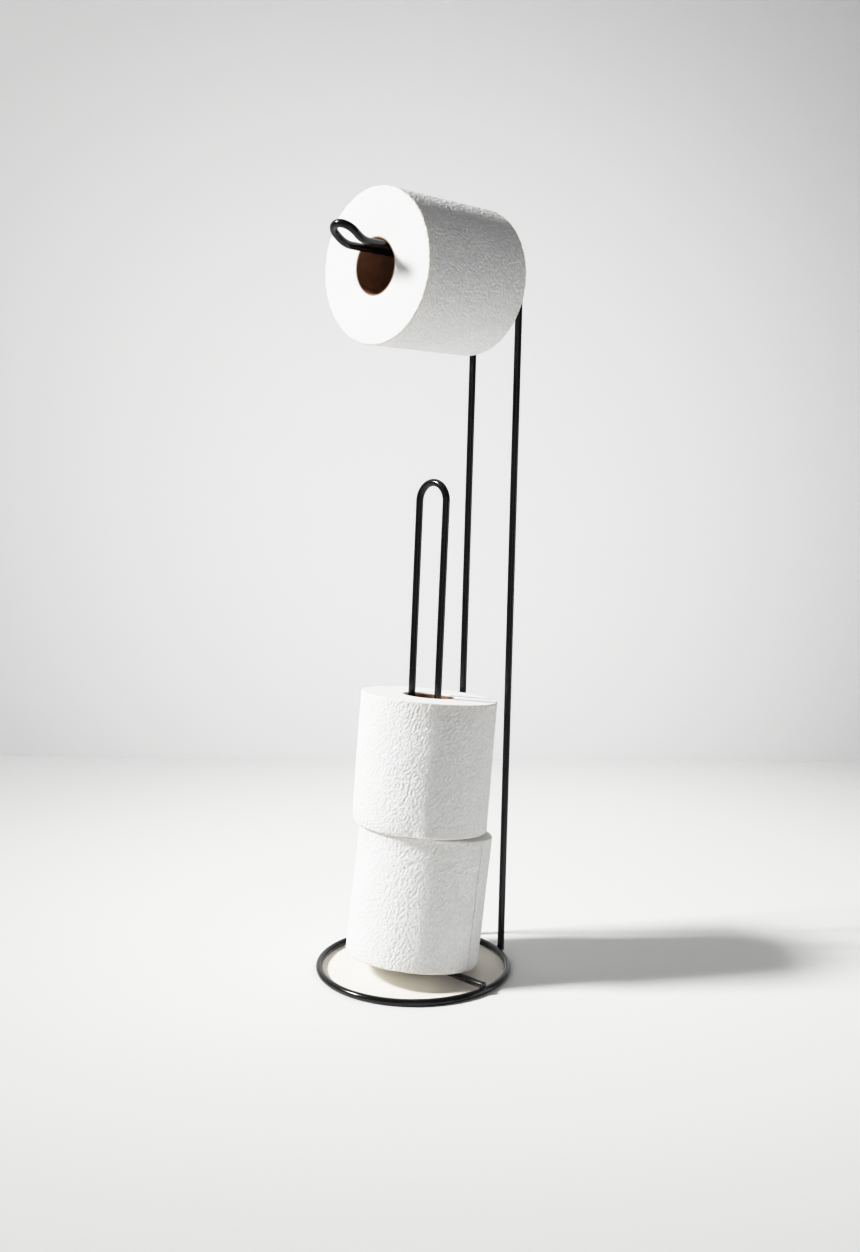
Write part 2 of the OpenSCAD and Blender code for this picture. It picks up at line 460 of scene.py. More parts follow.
@dataclass(frozen=True)
class TissueFinish:
    """Soft white wound tissue with an embossed outer sheet and layered ends."""

    white: Colour = (0.945, 0.948, 0.948, 1.0)
    shade: Colour = (0.90, 0.90, 0.895, 1.0)
    mottle: Mottle = Mottle(26.0, 900.0, 0.45)
    shade_span: Span = (0.40, 0.62)
    rough_span: Span = (0.3, 0.7)
    roughness: Span = (0.86, 0.98)
    specular: float = 0.2
    sheen: float = 0.10
    sheen_roughness: float = 0.6
    scatter: float = 0.22
    scatter_tint: Point = (1.0, 0.86, 0.68)
    scatter_reach: float = 4.5 * MM
    fibre_scale: float = 1900.0
    fibre_detail: float = 3.0
    fibre_mm: float = 0.05
    # The embossed outer sheet, with painted shade in its hollows and painted warm light near its
    # rims
    slant: float = 0.22
    pebble_scale: float = 500.0
    pebble_stretch: float = 0.78
    pebble_softness: float = 0.1
    pebble_mm: float = 0.85
    # Painted shade: the hollows between the embossed pebbles are darkened
    painted_hollow_shade: Colour = (0.68, 0.675, 0.65, 1.0)
    painted_hollow_shade_span: Span = (0.25, 0.65)
    painted_hollow_shade_share: float = 0.42
    crinkle_scale: float = 800.0
    crinkle_stretch: float = 0.5
    crinkle_detail: float = 2.5
    crinkle_mm: float = 0.03
    # Painted light: the side is tinted warm near each rim, for light scattered through the
    # tissue's edge
    painted_rim_light: Colour = (0.93, 0.89, 0.82, 1.0)
    painted_rim_light_share: float = 0.6
    # The wound layers on the ends
    layer_scale: float = 3200.0
    layer_detail: float = 3.0
    layer_mm: float = 0.20
    drift_scale: float = 35.0
    drift_detail: float = 2.0
    drift: float = 1.6 * MM
    end_line: Colour = (0.72, 0.71, 0.70, 1.0)
    line_span: Span = (0.52, 0.72)
    line_share: float = 0.40

    def material(self, shared: SharedEffects) -> bpy.types.Material:
        """Builds the finish.

        Args:
            shared: The shared node groups.

        Returns:
            The material.
        """
        mat, s, bsdf = new_material("white_tissue")
        where = s.position()
        mottle = shared.place_mottle(s, where, self.mottle)
        end = s.attribute("end_face")
        side = s.maths("SUBTRACT", 1.0, end)
        layers = self._layers(s, where)
        cells = s.feed(
            s.add("ShaderNodeTexVoronoi", feature="SMOOTH_F1"),
            Vector=self._sheet(s, self.pebble_stretch),
            Scale=self.pebble_scale,
            Smoothness=self.pebble_softness,
        ).outputs["Distance"]
        ground = s.mix(s.ramp(mottle, self.shade_span), self.shade, self.white)
        # Painted light: warm tint near the rims of the side, for light scattered through the edge
        ground = s.mix(s.times(s.attribute("near_rim"), self.painted_rim_light_share), ground, self.painted_rim_light)
        # Painted shade darkens the hollows between the pebbles on the side
        painted_hollow_shade = s.times(s.ramp(cells, self.painted_hollow_shade_span), s.times(side, self.painted_hollow_shade_share))
        ground = s.mix(painted_hollow_shade, ground, self.painted_hollow_shade)
        lines = s.times(s.times(s.ramp(layers, self.line_span), end), self.line_share)
        s.feed(
            bsdf,
            Base_Color=s.mix(lines, ground, self.end_line),
            Roughness=s.ramp(mottle, self.rough_span, self.roughness),
            Normal=s.bump(self._height(s, where, side, end, layers, cells), MM, 1.0),
            Specular_IOR_Level=self.specular,
            Sheen_Weight=self.sheen,
            Sheen_Roughness=self.sheen_roughness,
            Subsurface_Weight=self.scatter,
            Subsurface_Radius=self.scatter_tint,
            Subsurface_Scale=self.scatter_reach,
        )
        return mat

    def _layers(self, s: Sockets, where: Socket) -> Socket:
        """Makes lines that follow the winding on the ends and drift a little."""
        drift = s.times(s.noise(where, self.drift_scale, self.drift_detail), self.drift)
        radius = s.plus(s.attribute("wound_radius"), drift)
        at = s.feed(s.add("ShaderNodeCombineXYZ"), X=radius).outputs[0]
        return s.noise(at, self.layer_scale, self.layer_detail)

    def _sheet(self, s: Sockets, stretch: float) -> Socket:
        """Makes sheet coordinates whose pattern is slanted and drawn out along the roll."""
        along = s.attribute("along")
        across = s.maths("SUBTRACT", s.attribute("around"), s.times(along, self.slant))
        return s.feed(
            s.add("ShaderNodeCombineXYZ"), X=across, Y=s.times(along, stretch)
        ).outputs[0]

    def _height(
        self, s: Sockets, where: Socket, side: Socket, end: Socket, layers: Socket, cells: Socket
    ) -> Socket:
        """Works out the fine relief.

        Args:
            s: The material's helper.
            where: Object coordinates.
            side: Mask of the outer sheet.
            end: Mask of the ends.
            layers: The winding's lines.
            cells: Distance from the middle of the nearest pebble.

        Returns:
            The height in millimetres.
        """
        pebbles = s.times(s.maths("SUBTRACT", 1.0, cells), self.pebble_mm)
        folds = s.noise(
            self._sheet(s, self.crinkle_stretch), self.crinkle_scale, self.crinkle_detail
        )
        on_side = s.times(s.plus(pebbles, s.times(folds, self.crinkle_mm)), side)
        on_end = s.times(layers, s.times(end, self.layer_mm))
        fibres = s.times(s.noise(where, self.fibre_scale, self.fibre_detail), self.fibre_mm)
        return s.plus(s.plus(on_side, on_end), fibres)


@dataclass(frozen=True)
class CoreBoard:
    """Brown spiral-wound cardboard, paler at its ends: partly the paler cut edge, partly painted
    light on the lit rim of the tube.
    """

    board: Colour = (0.25, 0.130, 0.068, 1.0)
    dark: Colour = (0.17, 0.082, 0.040, 1.0)
    mottle: Mottle = Mottle(120.0, 2600.0, 0.55)
    mottle_span: Span = (0.38, 0.62)
    seam: Colour = (0.10, 0.05, 0.025, 1.0)
    seam_share: float = 0.7
    specks: Specks = Specks(900.0, 0.22)
    speck_share: float = 0.6
    # Paler ends: partly the cut edge, partly painted light on the lit rim
    pale_cut_and_lit_rim: Colour = (0.36, 0.25, 0.17, 1.0)
    rough_span: Span = (0.3, 0.7)
    roughness: Span = (0.78, 0.92)
    grain_scale: float = 2400.0
    grain_detail: float = 3.0
    grain_depth: float = 0.00012
    grain_strength: float = 0.7

    def material(self, shared: SharedEffects) -> bpy.types.Material:
        """Builds the finish.

        Args:
            shared: The shared node groups.

        Returns:
            The material.
        """
        mat, s, bsdf = new_material("spiral_cardboard")
        where = s.position()
        mottle = shared.place_mottle(s, where, self.mottle)
        specks = shared.place_specks(s, where, self.specks)
        ply = s.attribute("ply_edge")
        ground = s.mix(s.ramp(mottle, self.mottle_span), self.dark, self.board)
        ground = s.mix(s.times(ply, self.seam_share), ground, self.seam)
        ground = s.mix(s.times(specks, self.speck_share), ground, self.seam)
        grain = s.noise(where, self.grain_scale, self.grain_detail)
        height = s.plus(grain, s.times(ply, -1.0))
        # The ends are painted paler: partly the cut edge, partly painted light on the lit rim
        s.feed(
            bsdf,
            Base_Color=s.mix(s.attribute("cut_end"), ground, self.pale_cut_and_lit_rim),
            Roughness=s.ramp(mottle, self.rough_span, self.roughness),
            Normal=s.bump(height, self.grain_depth, self.grain_strength),
        )
        return mat


@dataclass(frozen=True, kw_only=True)
class StudioPaint:
    """Matt pale paint of the studio, with painted shade: its colour darkens away from a bright
    centre, for the fall-off of the light.
    """

    name: str
    colour: Colour
    painted_falloff_colour: Colour
    centre: Point
    reach: Span
    mottle: Mottle = Mottle(1.2, 160.0, 0.15)
    mottle_share: float = 0.04
    mottle_tint: Colour = (0.5, 0.5, 0.5, 1.0)
    roughness: float = 0.75
    specular: float = 0.3

    def material(self, shared: SharedEffects) -> bpy.types.Material:
        """Builds the finish.

        Args:
            shared: The shared node groups.

        Returns:
            The material.
        """
        mat, s, bsdf = new_material(self.name)
        where = s.position()
        mottle = shared.place_mottle(s, where, self.mottle)
        # Painted shade: the colour darkens away from the bright centre, as the light falls off
        far = s.soft_step(s.distance(where, self.centre), self.reach)
        ground = self._ground(s, where, s.mix(far, self.colour, self.painted_falloff_colour))
        level = self._glow(s, where, far)
        grey = s.feed(s.add("ShaderNodeCombineColor"), Red=level, Green=level, Blue=level)
        s.feed(
            bsdf,
            Base_Color=s.mix(s.times(mottle, self.mottle_share), ground, self.mottle_tint),
            Roughness=self.roughness,
            Specular_IOR_Level=self.specular,
            Emission_Color=grey.outputs[0],
            Emission_Strength=1.0,
        )
        surface = mat.node_tree.nodes["Material Output"].inputs["Surface"]
        s.link(self._shader(s, bsdf.outputs[0]), surface)
        return mat

    def _ground(self, s: Sockets, where: Socket, ground: Socket) -> Socket:
        """Returns the paint's colour."""
        return ground

    def _glow(self, s: Sockets, where: Socket, far: Socket) -> Socket:
        """Returns how strongly the paint glows."""
        raise NotImplementedError

    def _shader(self, s: Sockets, paint: Socket) -> Socket:
        """Returns the shader of the whole surface."""
        return paint


@dataclass(frozen=True, kw_only=True)
class FloorPaint(StudioPaint):
    """The floor: warmer inside the base ring, and given a painted glow in the distance that only
    the camera sees.
    """

    warm: Colour
    warm_centre: Point
    warm_reach: Span
    edge_glow: float
    edge_reach: Span

    def _ground(self, s: Sockets, where: Socket, ground: Socket) -> Socket:
        """Warms the colour inside the ring."""
        away = s.distance(where, self.warm_centre)
        return s.mix(s.soft_step(away, self.warm_reach), self.warm, ground)

    def _glow(self, s: Sockets, where: Socket, far: Socket) -> Socket:
        """Brightens the far floor to the camera alone."""
        edge = s.soft_step(s.distance(where, self.warm_centre), self.edge_reach)
        return s.times(edge, s.times(s.camera_ray(), self.edge_glow))


@dataclass(frozen=True, kw_only=True)
class WallPaint(StudioPaint):
    """The wall: lit from within, and clear from behind."""

    glow: float
    far_glow_share: float

    def _glow(self, s: Sockets, where: Socket, far: Socket) -> Socket:
        """Lets the glow fade away from the bright centre."""
        return s.ramp(far, (0.0, 1.0), (self.glow, self.glow * self.far_glow_share))

    def _shader(self, s: Sockets, paint: Socket) -> Socket:
        """Makes the back of the wall clear."""
        behind = s.add("ShaderNodeNewGeometry").outputs["Backfacing"]
        return s.mix_shaders(behind, paint, s.add("ShaderNodeBsdfTransparent").outputs[0])


# ---------------- the rolls


BODY_WAVES = range(2, 9)
RIM_WAVES = (19, 29, 41, 53, 71, 89, 113)
END_WAVES = (17, 31, 43, 61, 79, 97)
LAYER_GROUPS = 200


class Spots:
    """Where each point of a turned roll lies, in the roll's own terms."""

    def __init__(self, co: np.ndarray, bore: float, outer: float, width: float) -> None:
        """Measures points whose roll has its axis along Z and its foot at 0."""
        self.outer, self.width = outer, width
        self.r = np.hypot(co[:, 0], co[:, 1])
        self.theta = np.arctan2(co[:, 1], co[:, 0])
        self.along = co[:, 2].copy()
        self.inwards = np.minimum(self.along, width - self.along)
        self.share = np.clip((self.r - bore) / (outer - bore), 0, 1)
        self.on_end = (self.inwards < 1e-6).astype(float)


class Carrier(Enum):
    """What a roll is put on."""

    ARM = "arm"
    SPINDLE = "spindle"


@dataclass(frozen=True)
class Mark:
    """A dent, crease or ridge in the outer sheet, from one point of it to another.

    Each point is an angle in degrees and a height in millimetres. Reach and lift are
    millimetres too, and a lift below 0 dents.
    """

    start: Span
    end: Span
    reach: float
    lift: float

    def swell(self, theta: np.ndarray, along: np.ndarray, radius: float) -> np.ndarray:
        """Works out how far the mark moves each point outwards.

        Args:
            theta: Angle of each point round the roll.
            along: Height of each point along the roll.
            radius: The roll's outer radius.

        Returns:
            The outward move of each point.
        """
        first, last = (
            np.array((math.radians(a) * radius, z * MM)) for a, z in (self.start, self.end)
        )
        spot = np.stack((theta * radius, along), axis=1) - first
        run = last - first
        share = np.clip(spot @ run / max(run @ run, 1e-12), 0, 1)
        away = np.linalg.norm(spot - share[:, None] * run, axis=1)
        return self.lift * MM / (1 + (away / (self.reach * MM)) ** 2)


@dataclass(frozen=True)
class Lifted:
    """How far a roll's top is raised in all, how far it is skewed, and which way."""

    mean_mm: float = 0.0
    skew_mm: float = 0.0
    way_deg: float = 0.0

    def rise(self, spots: Spots) -> np.ndarray:
        """Works out how far each point rises."""
        skew = self.skew_mm * np.cos(spots.theta - math.radians(self.way_deg))
        height = spots.along / spots.width
        return (self.mean_mm + skew * spots.r / spots.outer) * MM * height**4


@dataclass
class Roll:
    """One roll: embossed tissue wound on a cardboard core."""

    name: str
    body: str
    carrier: Carrier
    base: Span
    diameter: float
    tail_deg: float
    seed: int
    lean_deg: float = 0.0
    width: float = 110.0 * MM
    core_bore: float = 42.2 * MM
    core_wall: float = 0.8 * MM
    core_recess: float = 0.3 * MM
    wound_gap: float = 0.02 * MM
    edge_r: float = 1.1 * MM
    lip: float = 0.5 * MM
    step: float = 0.4 * MM
    wave_mm: float = 0.16
    fray: float = 0.14 * MM
    rim_reach: float = 1.6
    pebble: Span = (2.2 * MM, 2.8 * MM)
    pebble_depth: float = 0.08 * MM
    lump: float = 6.0 * MM
    lump_depth: float = 0.03 * MM
    undulation: float = 0.6 * MM
    undulation_size: float = 19 * MM
    layer: float = 0.9 * MM
    layer_lift_mm: float = 0.09
    end_bow_mm: float = 0.10
    bore_lift_mm: float = 0.25
    bore_lift_way: float = 1.0
    # Reach of the painted warm light near the rims
    painted_rim_light_reach: float = 14 * MM
    marks: tuple[Mark, ...] = ()
    top: Lifted = Lifted()
    segments: int = 480
    side_cuts: tuple[int, int] = (44, 2)
    end_cuts: int = 15
    core_segments: int = 160
    core_cuts: int = 60
    core_soft: float = 0.15 * MM
    ply_pitch: float = 98 * MM
    ply_depth: float = 0.12 * MM
    ply_reach: float = 0.8 * MM
    cut_reach: float = 0.8 * MM

    @property
    def place(self) -> Matrix:
        """Matrix from the roll's own frame, with its axis along Z, to the row frame."""
        tip = math.radians(90 if self.carrier is Carrier.ARM else self.lean_deg)
        return Matrix.Translation((0, *self.base)) @ Matrix.Rotation(-tip, 4, "X")

    @property
    def bore(self) -> float:
        """Radius of the hole in the tissue."""
        return self.core_bore / 2 + self.core_wall + self.wound_gap

    def build_tissue(self) -> bpy.types.Object:
        """Models the wound tissue.

        Returns:
            The finished mesh object, in place.
        """
        r, e, w, bore, lip = self.diameter / 2, self.edge_r, self.width, self.bore, self.lip
        arc = [math.radians(a) for a in (15, 30, 45, 60, 75, 90)]
        profile: Profile = [(bore, w / 2), (bore, lip), (bore + lip, 0), (r - e, 0)]
        profile += [(r - e + e * math.sin(a), e - e * math.cos(a)) for a in arc]
        profile += [(rr, w - z) for rr, z in reversed(profile)]
        obj = turned_body(self.name + "_tissue_wound", self.segments, profile)
        split_band(obj, (r, e), (r, w - e), self.side_cuts[0])
        self._split_side(obj, r, e, w)
        for z in (0, w):
            split_band(obj, (bore + lip, z), (r - e, z), self.end_cuts)
        self._wind(obj)
        settle(obj, self.place)
        self._undulate(obj)
        smooth(obj)
        log.info("%s: %d points", obj.name, len(obj.data.vertices))
        return obj

    def _split_side(self, obj: bpy.types.Object, r: float, e: float, w: float) -> None:
        """Cuts each band of the side again, so that its faces are about as long as wide."""
        edit_edges(obj)
        mesh = bmesh.from_edit_mesh(obj.data)
        for edge in mesh.edges:
            a, b = edge.verts
            upright = abs(a.co.z - b.co.z) > 1 * MM
            outside = min(math.hypot(*a.co.xy), math.hypot(*b.co.xy)) > r - 0.1 * MM
            edge.select = upright and outside and e - 1e-5 < a.co.z < w - e + 1e-5
        bmesh.update_edit_mesh(obj.data)
        bpy.ops.mesh.subdivide(number_cuts=self.side_cuts[1], smoothness=0)
        leave()

    def _wind(self, obj: bpy.types.Object) -> None:
        """Gives the turned body its wound outline, its uneven ends and its attributes."""
        rng = np.random.default_rng(self.seed)
        co = points_of(obj)
        p = Spots(co, self.bore, self.diameter / 2, self.width)
        turn = np.mod(p.theta - math.radians(self.tail_deg), 2 * math.pi) / (2 * math.pi)
        around = turn * 2 * math.pi * p.outer
        rim = np.clip(1 - p.inwards / (self.edge_r * self.rim_reach), 0, 1) * p.share**8
        sheet = np.clip((p.share - 0.9) * 12, 0, 1) * (1 - p.on_end)
        # The outer sheet ends in one step at the tail; the wound body and its rims are uneven.
        swell = self.step * (0.5 - turn) * p.share**6
        swell += self._waves(rng, p.theta, BODY_WAVES, 1.0) * self.wave_mm * MM * p.share**2
        swell -= np.abs(self._waves(rng, p.theta, RIM_WAVES, 0.0)) * self.fray * rim
        swell += self._relief(around, p.along, sheet) * sheet
        pressed = sum(m.swell(p.theta, p.along, p.outer) for m in self.marks)
        swell += pressed * np.clip((p.share - 0.82) * 6, 0, 1)
        co[:, :2] *= ((p.r + swell) / p.r)[:, None]
        lift = self._end_lift(rng, p)
        lift += np.abs(self._waves(rng, p.theta, END_WAVES, 0.0)) * self.fray * rim
        co[:, 2] += np.where(p.along < self.width / 2, lift, -lift)
        co[:, 2] += self.top.rise(p)
        put_points(obj, co)
        self._label(obj, p, around)
        self._weigh(obj, sheet * (1 - rim * 0.7))

    @staticmethod
    def _waves(
        rng: np.random.Generator, theta: np.ndarray, orders: Iterable[int], power: float
    ) -> np.ndarray:
        """Sums waves round the roll, each of a random size and phase.

        Args:
            rng: Source of the sizes and phases.
            theta: Angle of each point.
            orders: How many periods each wave has round the roll.
            power: How fast the waves shrink with their order.

        Returns:
            The sum at each point.
        """
        return sum(
            rng.uniform(-1, 1) * np.cos(k * theta + rng.uniform(0, 6.28)) / k**power
            for k in orders
        )

    def _end_lift(self, rng: np.random.Generator, p: Spots) -> np.ndarray:
        """Works out how far the wound layers stand in from each end face."""
        rings = rng.normal(0, 1, LAYER_GROUPS)
        index = ((p.r - self.bore) / self.layer).astype(int)
        layers = np.abs(rings[np.clip(index, 0, LAYER_GROUPS - 1)]) * self.layer_lift_mm * MM
        bow = self.end_bow_mm * MM * (1 + np.cos(2 * p.theta + rings[3]))
        lift = layers + bow * p.share * (1 - p.share)
        sunk = self.bore_lift_mm * MM * (1 - np.cos(p.theta - self.bore_lift_way)) / 2
        return (lift + sunk * (1 - p.share)) * p.on_end

    def _label(self, obj: bpy.types.Object, p: Spots, around: np.ndarray) -> None:
        """Writes the attributes that the finish reads, as they were before the winding."""
        fade = np.clip(1 - p.inwards / (self.edge_r * 0.7), 0, 1)
        in_bore = (p.share < 1e-3).astype(float)
        # near_rim masks the painted warm light on the side near each rim
        near_rim = np.clip(1 - p.inwards / self.painted_rim_light_reach, 0, 1) * (1 - p.on_end)
        on_end = np.where(p.on_end > 0, 1.0, fade**0.5)
        put_attribute(obj, "end_face", np.maximum(on_end, in_bore))
        put_attribute(obj, "wound_radius", p.r)
        put_attribute(obj, "around", around)
        put_attribute(obj, "along", p.along)
        put_attribute(obj, "near_rim", near_rim)

    @staticmethod
    def _weigh(obj: bpy.types.Object, weight: np.ndarray) -> None:
        """Writes how much of the soft undulation each point takes."""
        group = obj.vertex_groups.new(name="sheet")
        steps = np.round(weight, 1)
        for level in np.unique(steps):
            if level > 0:
                group.add(np.flatnonzero(steps == level).tolist(), float(level), "REPLACE")

    def _relief(self, around: np.ndarray, along: np.ndarray, sheet: np.ndarray) -> np.ndarray:
        """Works out how far the embossed pebbles and the lumps under them move each point."""
        move = np.zeros(len(around))
        for i in np.flatnonzero(sheet > 0):
            u, v = float(around[i]), float(along[i])
            near = noise.voronoi((u / self.pebble[0], v / self.pebble[1], self.seed))[0][0]
            soft = noise.noise((u / self.lump, v / self.lump, self.seed + 0.5))
            dome = 0.35 - min(near / 0.65, 1.0) ** 1.5
            move[i] = self.pebble_depth * dome + self.lump_depth * soft
        return move

    def _undulate(self, obj: bpy.types.Object) -> None:
        """Lets the roll's side undulate softly."""
        name = "undulation"
        texture = bpy.data.textures.get(name) or bpy.data.textures.new(name, "CLOUDS")
        texture.noise_scale = self.undulation_size
        mod = obj.modifiers.new(name, "DISPLACE")
        mod.texture = texture
        mod.texture_coords = "LOCAL"
        mod.vertex_group = "sheet"
        mod.mid_level = 0.5
        mod.strength = self.undulation
        apply_all(obj)

    def build_core(self) -> bpy.types.Object:
        """Models the spiral-wound cardboard tube.

        Returns:
            The finished mesh object, in place.
        """
        inner, soft, mid = self.core_bore / 2, self.core_soft, self.width / 2
        outer, low, high = inner + self.core_wall, self.core_recess, self.width - self.core_recess
        profile: Profile = [
            (inner, mid), (inner, low + soft), (inner + soft, low),
            (outer - soft, low), (outer, low + soft), (outer, high - soft), (outer - soft, high),
            (inner + soft, high), (inner, high - soft), (inner, mid),
        ]
        obj = turned_body(self.name + "_core_tube", self.core_segments, profile)
        split_band(obj, (inner, mid), (inner, low + soft), self.core_cuts)
        split_band(obj, (inner, mid), (inner, high - soft), self.core_cuts)
        self._groove(obj, inner)
        settle(obj, self.place)
        smooth(obj)
        return obj

    def _groove(self, obj: bpy.types.Object, inner: float) -> None:
        """Sinks the spiral seam into the tube's inside and writes its attributes."""
        co = points_of(obj)
        r = np.hypot(co[:, 0], co[:, 1])
        theta = np.arctan2(co[:, 1], co[:, 0])
        phase = np.mod(theta / (2 * math.pi) - co[:, 2] / self.ply_pitch, 1.0)
        away = np.minimum(phase, 1 - phase) * self.ply_pitch
        edge = np.exp(-((away / self.ply_reach) ** 2)) * (r < inner + 0.05 * MM)
        co[:, :2] *= ((r + self.ply_depth * edge) / r)[:, None]
        put_points(obj, co)
        put_attribute(obj, "ply_edge", edge)
        # cut_end masks the paler ends, partly cut edge and partly painted light on the lit rim
        inwards = np.minimum(co[:, 2], self.width - co[:, 2]) - self.core_recess
        put_attribute(obj, "cut_end", np.clip(1.1 - inwards / self.cut_reach, 0, 1) ** 2)

    def dress(self, tissue: bpy.types.Material, board: bpy.types.Material) -> None:
        """Builds, paints and mounts the roll's two pieces.

        Args:
            tissue: Finish of the wound tissue.
            board: Finish of the core.
        """
        for obj, node, mat, slot in (
            (self.build_tissue(), self.name + "_tissue", tissue, "tissue"),
            (self.build_core(), self.name + "_core", board, "core_board"),
        ):
            obj.data.materials.append(mat)
            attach(obj, self.body)
            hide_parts(node)


def rolls(ring_y: float) -> list[Roll]:
    """Lists the three rolls with their places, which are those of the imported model.

    Args:
        ring_y: Where the ring's centre lies.

    Returns:
        The hanging roll and the two spare rolls.
    """
    return [
        Roll(
            name="hanging_roll", body="hanging_roll", carrier=Carrier.ARM,
            base=(ring_y + (9.5 - 55.0) * MM, 573.4474 * MM),
            diameter=117.2 * MM, tail_deg=215.0, seed=11, fray=0.26 * MM,
        ),
        Roll(
            name="upper_spare", body="upper_spare_roll", carrier=Carrier.SPINDLE,
            base=(ring_y + 5.9180 * MM, 123.8395 * MM), lean_deg=5.9738,
            diameter=114.4 * MM, tail_deg=100.0, seed=23, top=Lifted(0.8, 0.95, 190.0),
            marks=(
                # Bottom rim pressed in on the roll below, two creases and two dents
                Mark((-128, 0), (-52, 0), 6.0, -3.2),
                Mark((-47, 112), (-43, 70), 6.0, 0.20),
                Mark((-43, 66), (-40, 10), 6.0, 0.20),
                Mark((-34.7, 39), (-33.5, 40), 1.8, -0.75),
                Mark((-21, 104), (-15, 101), 7.0, -0.45),
            ),
        ),
        Roll(
            name="lower_spare", body="lower_spare_roll", carrier=Carrier.SPINDLE,
            base=(ring_y - 2.3850 * MM, 11.2112 * MM), lean_deg=8.8520,
            diameter=113.0 * MM, tail_deg=10.0, seed=37,
            marks=(
                # Top rim bulged under the roll above, and three dents
                Mark((-118, 108), (-60, 108), 6.0, 2.4),
                Mark((-58, 104), (-42, 101), 5.0, -0.7),
                Mark((-41, 10.4), (-19, 3.7), 0.7, -0.3),
                Mark((-30, 60), (-22, 20), 9.0, -0.35),
            ),
        ),
    ]


# ---------------- the stand


@dataclass
class WireStand:
    """The welded stand, whose solids stay and get the powder coat."""

    nodes: tuple[str, ...] = (
        "base_ring", "frame_wire", "spindle_wire",
        "left_upright_weld", "right_upright_weld", "left_foot_weld", "right_foot_weld",
    )

    def dress(self, solids: dict[str, bpy.types.Object], coat: bpy.types.Material) -> None:
        """Paints the frame's own wires and welds.

        Args:
            solids: The frame's objects by node name.
            coat: The powder coat.
        """
        for name in self.nodes:
            mesh = solids[name].data
            mesh.materials.clear()
            mesh.materials.append(coat)
            log.info("%s: %d triangles", name, len(mesh.polygons))


# ---------------- the studio


@dataclass(frozen=True)
class SoftLight:
    """One square soft light."""

    name: str
    size: float
    power: float
    tint: Point = (1.0, 1.0, 1.0)
    spread_deg: float = 140

    def add(self, at: Vector, aim: Vector) -> None:
        """Adds the light to the scene.

        Args:
            at: Where it stands.
            aim: What it points at.
        """
        data = bpy.data.lights.new(self.name, "AREA")
        data.shape, data.size, data.energy, data.color = "SQUARE", self.size, self.power, self.tint
        data.spread = math.radians(self.spread_deg)
        lamp = bpy.data.objects.new(self.name, data)
        bpy.context.scene.collection.objects.link(lamp)
        turn = (aim - at).to_track_quat("-Z", "Y").to_matrix().to_4x4()
        lamp.matrix_world = Matrix.Translation(at) @ turn


@dataclass
class Viewpoint:
    """The photograph's viewpoint, with its picture measured in pixels."""

    focal_px: float = 1236.45
    height_px: float = 1252.0
    below_centre_px: float = 37.86
    eye: Point = (0.71660, -0.71779, 0.41072)
    yaw: float = 0.7766
    pitch: float = 0.1459
    roll: float = 0.0071
    sensor_mm: float = 36.0
    clip: Span = (0.02, 60.0)
    right: Vector = field(init=False)
    ahead: Vector = field(init=False)

    def __post_init__(self) -> None:
        """Works out the level directions."""
        self.right = Vector((math.cos(self.yaw), math.sin(self.yaw), 0))
        self.ahead = Vector((-math.sin(self.yaw), math.cos(self.yaw), 0))

    def spot(self, right: float, ahead: float, up: float) -> Vector:
        """Returns the point that lies so far to the right, ahead and up of the origin."""
        return self.right * right + self.ahead * ahead + Vector((0, 0, up))

    def add_camera(self) -> None:
        """Adds the camera."""
        look = math.cos(self.pitch) * self.ahead - math.sin(self.pitch) * UP
        lift = math.cos(self.pitch) * UP + math.sin(self.pitch) * self.ahead
        side = math.cos(self.roll) * self.right + math.sin(self.roll) * lift
        top = math.cos(self.roll) * lift - math.sin(self.roll) * self.right
        data = bpy.data.cameras.new("viewpoint")
        data.sensor_fit = "AUTO"
        data.sensor_width = self.sensor_mm
        data.lens = self.focal_px * data.sensor_width / self.height_px
        data.shift_y = self.below_centre_px / self.height_px
        data.clip_start, data.clip_end = self.clip
        cam = bpy.data.objects.new("viewpoint", data)
        bpy.context.scene.collection.objects.link(cam)
        basis = Matrix((side, top, -look)).transposed()
        cam.matrix_world = Matrix.Translation(self.eye) @ basis.to_4x4()
        bpy.context.scene.camera = cam


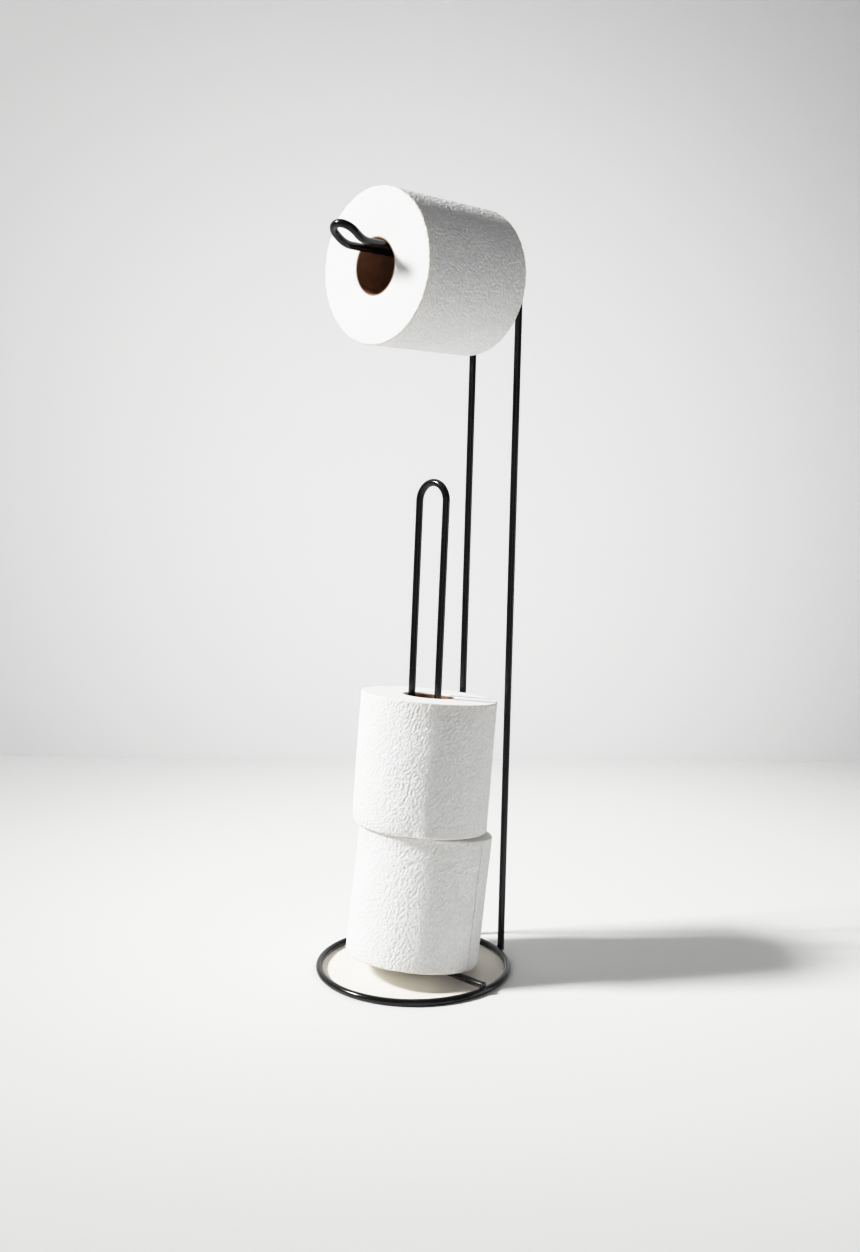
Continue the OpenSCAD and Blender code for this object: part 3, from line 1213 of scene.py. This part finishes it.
@dataclass
class Studio:
    """Pale floor and wall, lights and the picture's tones."""

    view: Viewpoint
    ring_y: float
    floor_size: float = 12.0
    # Centre of the floor's painted pool of light
    floor_bright: Point = (0.2, 0.2, 0.0)
    wall_size: float = 9.0
    wall_behind: float = 0.80
    wall_bright: Span = (0.03, 0.41)
    wall_glow: float = 1.02
    far_glow_share: float = 0.24
    # The key stands on the left, and a little to the front
    key: SoftLight = SoftLight("key", 0.51, 62.0, (1.0, 0.995, 0.985), 75)
    key_elevation_deg: float = 38
    key_front_deg: float = 5
    key_distance: float = 3.4
    key_aim_z: float = 0.25
    # Two cards on the right and in front brighten the shaded sides
    low_card: SoftLight = SoftLight("low_card", 0.5, 1.5)
    low_card_at: Point = (1.1, -0.1, 0.27)
    front_card: SoftLight = SoftLight("front_card", 0.8, 1.4)
    front_card_at: Point = (0.1, -1.35, 0.43)
    card_aim_z: float = 0.12
    fill: Colour = (0.97, 0.985, 1.0, 1.0)
    fill_level: float = 0.15
    backdrop: Colour = (0.66, 0.665, 0.665, 1.0)
    tone_top: float = 5.0
    tone_power: float = 1.15
    tone_steps: tuple[float, ...] = (0.004, 0.012, 0.03, 0.06, 0.11, 0.18, 0.28, 0.42, 0.6, 0.8)

    @staticmethod
    def _sheet(name: str, size: float, place: Matrix) -> bpy.types.Object:
        """Adds a square sheet in its place."""
        only(None)
        bpy.ops.mesh.primitive_grid_add(x_subdivisions=8, y_subdivisions=8, size=size)
        sheet = bpy.context.active_object
        sheet.name = name
        settle(sheet, place)
        return sheet

    def add_room(self, shared: SharedEffects) -> None:
        """Adds the floor and the wall.

        Args:
            shared: The shared node groups.
        """
        turn = Matrix((self.view.right, self.view.ahead, UP)).transposed().to_4x4()
        away = Matrix.Translation((0, self.wall_behind, self.wall_size / 2))
        floor = self._sheet("studio_floor", self.floor_size, turn)
        wall = self._sheet(
            "studio_wall", self.wall_size, turn @ away @ Matrix.Rotation(math.radians(90), 4, "X")
        )
        across, height = self.wall_bright
        pale = FloorPaint(
            name="studio_floor",
            colour=(0.87, 0.87, 0.86, 1.0), painted_falloff_colour=(0.47, 0.47, 0.47, 1.0),
            centre=tuple(turn @ Vector(self.floor_bright)), reach=(0.1, 1.1),
            warm=(0.91, 0.865, 0.77, 1.0),
            warm_centre=(0.0, self.ring_y, 0.0), warm_reach=(0.079, 0.081),
            edge_glow=0.5, edge_reach=(1.3, 2.6),
        )
        glowing = WallPaint(
            name="studio_wall",
            colour=(0.45, 0.45, 0.45, 1.0), painted_falloff_colour=(0.40, 0.40, 0.40, 1.0),
            centre=tuple(turn @ Vector((across, self.wall_behind, height))), reach=(0.0, 1.15),
            glow=self.wall_glow, far_glow_share=self.far_glow_share,
        )
        floor.data.materials.append(pale.material(shared))
        wall.data.materials.append(glowing.material(shared))

    def add_lights(self) -> None:
        """Adds the key light from the left, two cards and an even fill."""
        front, up = math.radians(self.key_front_deg), math.radians(self.key_elevation_deg)
        flat = -self.view.right * math.cos(front) - self.view.ahead * math.sin(front)
        way = flat * math.cos(up) + UP * math.sin(up)
        aim = Vector((0, 0, self.key_aim_z))
        self.key.add(aim + way * self.key_distance, aim)
        low = Vector((0, 0, self.card_aim_z))
        self.low_card.add(self.view.spot(*self.low_card_at), low)
        self.front_card.add(self.view.spot(*self.front_card_at), low)
        self._add_world()

    def _add_world(self) -> None:
        """Adds the fill, and the plain backdrop that the camera sees in its place."""
        world = bpy.data.worlds.new("studio_fill")
        world.use_nodes = True
        s = Sockets(world.node_tree)
        fill = s.feed(
            world.node_tree.nodes["Background"], Color=self.fill, Strength=self.fill_level
        )
        seen = s.feed(s.add("ShaderNodeBackground"), Color=self.backdrop, Strength=1.0)
        both = s.mix_shaders(s.camera_ray(), fill.outputs[0], seen.outputs[0])
        s.link(both, world.node_tree.nodes["World Output"].inputs["Surface"])
        bpy.context.scene.world = world

    def set_tones(self) -> None:
        """Rolls the brightest tones off softly, as the photograph's own tone curve does."""
        view = bpy.context.scene.view_settings
        view.view_transform = "Standard"
        view.look = "None"
        view.use_curve_mapping = True
        curves, top = view.curve_mapping, self.tone_top
        curves.white_level = (top, top, top)
        curve = curves.curves[3]
        curve.points[-1].location = (1.0, 1.0)
        for x in self.tone_steps:
            curve.points.new(x, 1 - math.exp(-((x * top) ** self.tone_power)))
        curves.update()


# ---------------- the whole


RING_Y = -6.1457 * MM


def main() -> None:
    """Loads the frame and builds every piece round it."""
    logging.basicConfig(level=logging.INFO, format="%(name)s %(message)s")
    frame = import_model()
    view = Viewpoint()
    view.add_camera()
    shared = SharedEffects()
    studio = Studio(view, RING_Y)
    studio.add_room(shared)
    studio.add_lights()
    studio.set_tones()
    WireStand().dress(frame["nodes"], PowderCoat().material(shared))
    tissue, board = TissueFinish().material(shared), CoreBoard().material(shared)
    for roll in rolls(RING_Y):
        roll.dress(tissue, board)
        log.info("%s dressed", roll.name)


if __name__ == "__main__":
    main()
